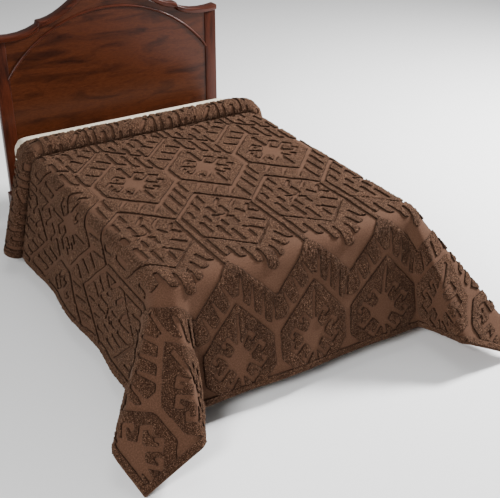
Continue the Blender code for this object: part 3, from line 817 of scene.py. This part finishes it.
def coverBlock(name, node, sizes):
    lowest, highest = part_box(node)
    middle = (lowest + highest) / 2
    size = highest - lowest
    bpy.ops.object.select_all(action="DESELECT")
    bpy.ops.mesh.primitive_cube_add(size=1.0, location=middle, scale=size)
    piece = bpy.context.object
    piece.name = piece.data.name = name
    bpy.ops.object.transform_apply(location=True, rotation=True, scale=True)
    bpy.ops.object.mode_set(mode="EDIT")
    bpy.ops.mesh.select_all(action="SELECT")
    bpy.ops.mesh.bevel(offset=sizes["bevel"], segments=6, affect="EDGES")
    bpy.ops.object.mode_set(mode="OBJECT")
    remesh = piece.modifiers.new("even", "REMESH")
    remesh.mode = "VOXEL"
    remesh.voxel_size = coverCell
    bpy.ops.object.modifier_apply(modifier="even")
    mesh = piece.data
    points = np.zeros(len(mesh.vertices) * 3)
    mesh.vertices.foreach_get("co", points)
    points = points.reshape(-1, 3)
    normals = np.zeros(len(points) * 3)
    mesh.vertices.foreach_get("normal", normals)
    normals = normals.reshape(-1, 3)
    ripple = np.sin(31.0 * points[:, 0] + 3.0 * np.sin(9.0 * points[:, 1]) + sizes["seed"])
    ripple *= np.sin(23.0 * points[:, 1] + 2.0 * np.sin(14.0 * points[:, 2]))
    points -= (sizes["wrinkle"] * (0.5 + 0.5 * ripple))[:, None] * normals
    points = np.clip(points, np.array(lowest), np.array(highest))
    mesh.vertices.foreach_set("co", points.ravel())
    mesh.update()
    mesh.shade_smooth()
    mesh.materials.clear()
    mesh.materials.append(cottonMaterial)
    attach(piece, "root")
    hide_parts(node)
    print(name, "faces", len(mesh.polygons))
    return piece


coverBlock("mattress_cover", "mattress", bedding["mattress"])
coverBlock("foundation_cover", "foundation", bedding["foundation"])

woods = {
    "headboard_panel": panelWood, "headboard_cap": levelWood,
    "headboard_post_left": uprightWood, "headboard_post_right": uprightWood,
    "rail_left": longWood, "rail_right": longWood, "rail_foot": levelWood,
    "middle_beam": longWood, "middle_leg": uprightWood,
    "foot_leg_left": uprightWood, "foot_leg_right": uprightWood,
    "slat_1": levelWood, "slat_2": levelWood, "slat_3": levelWood, "slat_4": levelWood,
}


def eased(node, wood, width):
    # a copy of the plain solid with rounded arrises
    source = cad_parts[node]
    mesh = source.data.copy()
    mesh.transform(source.matrix_world)
    piece = bpy.data.objects.new(node + "_eased", mesh)
    mesh.name = piece.name
    bpy.context.collection.objects.link(piece)
    bpy.ops.object.select_all(action="DESELECT")
    piece.select_set(True)
    bpy.context.view_layer.objects.active = piece
    bpy.ops.object.mode_set(mode="EDIT")
    bpy.ops.mesh.select_all(action="SELECT")
    bpy.ops.mesh.remove_doubles(threshold=0.00002)
    bpy.ops.mesh.dissolve_limited(angle_limit=math.radians(0.5))
    bpy.ops.object.mode_set(mode="OBJECT")
    bevel = piece.modifiers.new("arris", "BEVEL")
    bevel.width = width
    bevel.segments = 3
    bevel.limit_method = "ANGLE"
    bevel.angle_limit = math.radians(38)
    bevel.use_clamp_overlap = True
    bpy.ops.object.modifier_apply(modifier="arris")
    bpy.ops.object.shade_smooth_by_angle(angle=math.radians(32))
    mesh.materials.clear()
    mesh.materials.append(wood)
    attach(piece, "root")
    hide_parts(node)
    return piece


arris = {"headboard_cap": 0.007, "headboard_post_left": 0.004, "headboard_post_right": 0.004}
for node, wood in woods.items():
    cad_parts[node].data.materials.clear()
    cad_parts[node].data.materials.append(wood)
    if node in arris:
        eased(node, wood, arris[node])

# the arched bead on the headboard's panel
bead = {"radius": 0.76, "crest": 1.250, "foot": 0.930, "thickness": 0.008, "front": 1.045}
bpy.ops.object.select_all(action="DESELECT")
bpy.ops.mesh.primitive_torus_add(
    location=(0.0, bead["front"], bead["crest"] - bead["radius"]), rotation=(math.pi / 2, 0.0, 0.0),
    major_radius=bead["radius"], minor_radius=bead["thickness"], major_segments=192, minor_segments=12,
)
arch = bpy.context.object
arch.name = arch.data.name = "panel_bead"
bpy.ops.object.transform_apply(location=True, rotation=True, scale=True)
bpy.ops.object.mode_set(mode="EDIT")
bpy.ops.mesh.select_all(action="SELECT")
bpy.ops.mesh.bisect(
    plane_co=(0.0, 0.0, bead["foot"]), plane_no=(0.0, 0.0, 1.0), use_fill=True, clear_inner=True,
)
bpy.ops.object.mode_set(mode="OBJECT")
bpy.ops.object.shade_smooth_by_angle(angle=math.radians(40))
arch.data.materials.clear()
arch.data.materials.append(levelWood)
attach(arch, "root")
print("woods set")

bpy.ops.object.select_all(action="DESELECT")
bpy.ops.mesh.primitive_plane_add(size=40.0, location=(0.0, 0.0, 0.0))
floor = bpy.context.object
floor.name = "floor"
paleFloor = newMaterial("paleFloor", {"Base Color": (0.93, 0.93, 0.93, 1.0), "Roughness": 0.9})[0]
floor.data.materials.append(paleFloor)

lamps = (
    # name, place, aim, size, power
    ("keyLight", (4.8, -0.6, 3.6), (0.0, -0.3, 0.5), 1.1, 1055.0),
    ("fillLight", (-4.0, -3.5, 3.5), (-0.4, -0.5, 0.3), 1.5, 320.0),
    ("skyLight", (0.4, 0.4, 5.2), (0.0, -0.2, 0.4), 3.0, 60.0),
)
for name, place, aim, size, power in lamps:
    data = bpy.data.lights.new(name, "AREA")
    data.size = size
    data.energy = power
    lamp = bpy.data.objects.new(name, data)
    bpy.context.collection.objects.link(lamp)
    lamp.location = place
    lamp.rotation_euler = (Vector(aim) - Vector(place)).to_track_quat("-Z", "Y").to_euler()

world = bpy.data.worlds.new("studio")
world.use_nodes = True
world.node_tree.nodes["Background"].inputs["Color"].default_value = (1.0, 1.0, 1.0, 1.0)
world.node_tree.nodes["Background"].inputs["Strength"].default_value = 0.23
bpy.context.scene.world = world

view = {"place": (-1.983, -3.809, 2.570), "turn": -31.113, "tilt": 29.176, "lens": 65.7, "shift": -0.0025}
cameraData = bpy.data.cameras.new("camera")
cameraData.sensor_width = 36.0
cameraData.lens = view["lens"]
cameraData.shift_x = view["shift"]
camera = bpy.data.objects.new("camera", cameraData)
bpy.context.collection.objects.link(camera)
turn, tilt = math.radians(view["turn"]), math.radians(view["tilt"])
forward = Vector((-math.sin(turn) * math.cos(tilt), math.cos(turn) * math.cos(tilt), -math.sin(tilt)))
camera.location = view["place"]
camera.rotation_euler = forward.to_track_quat("-Z", "Y").to_euler()
bpy.context.scene.camera = camera
print("stage set")
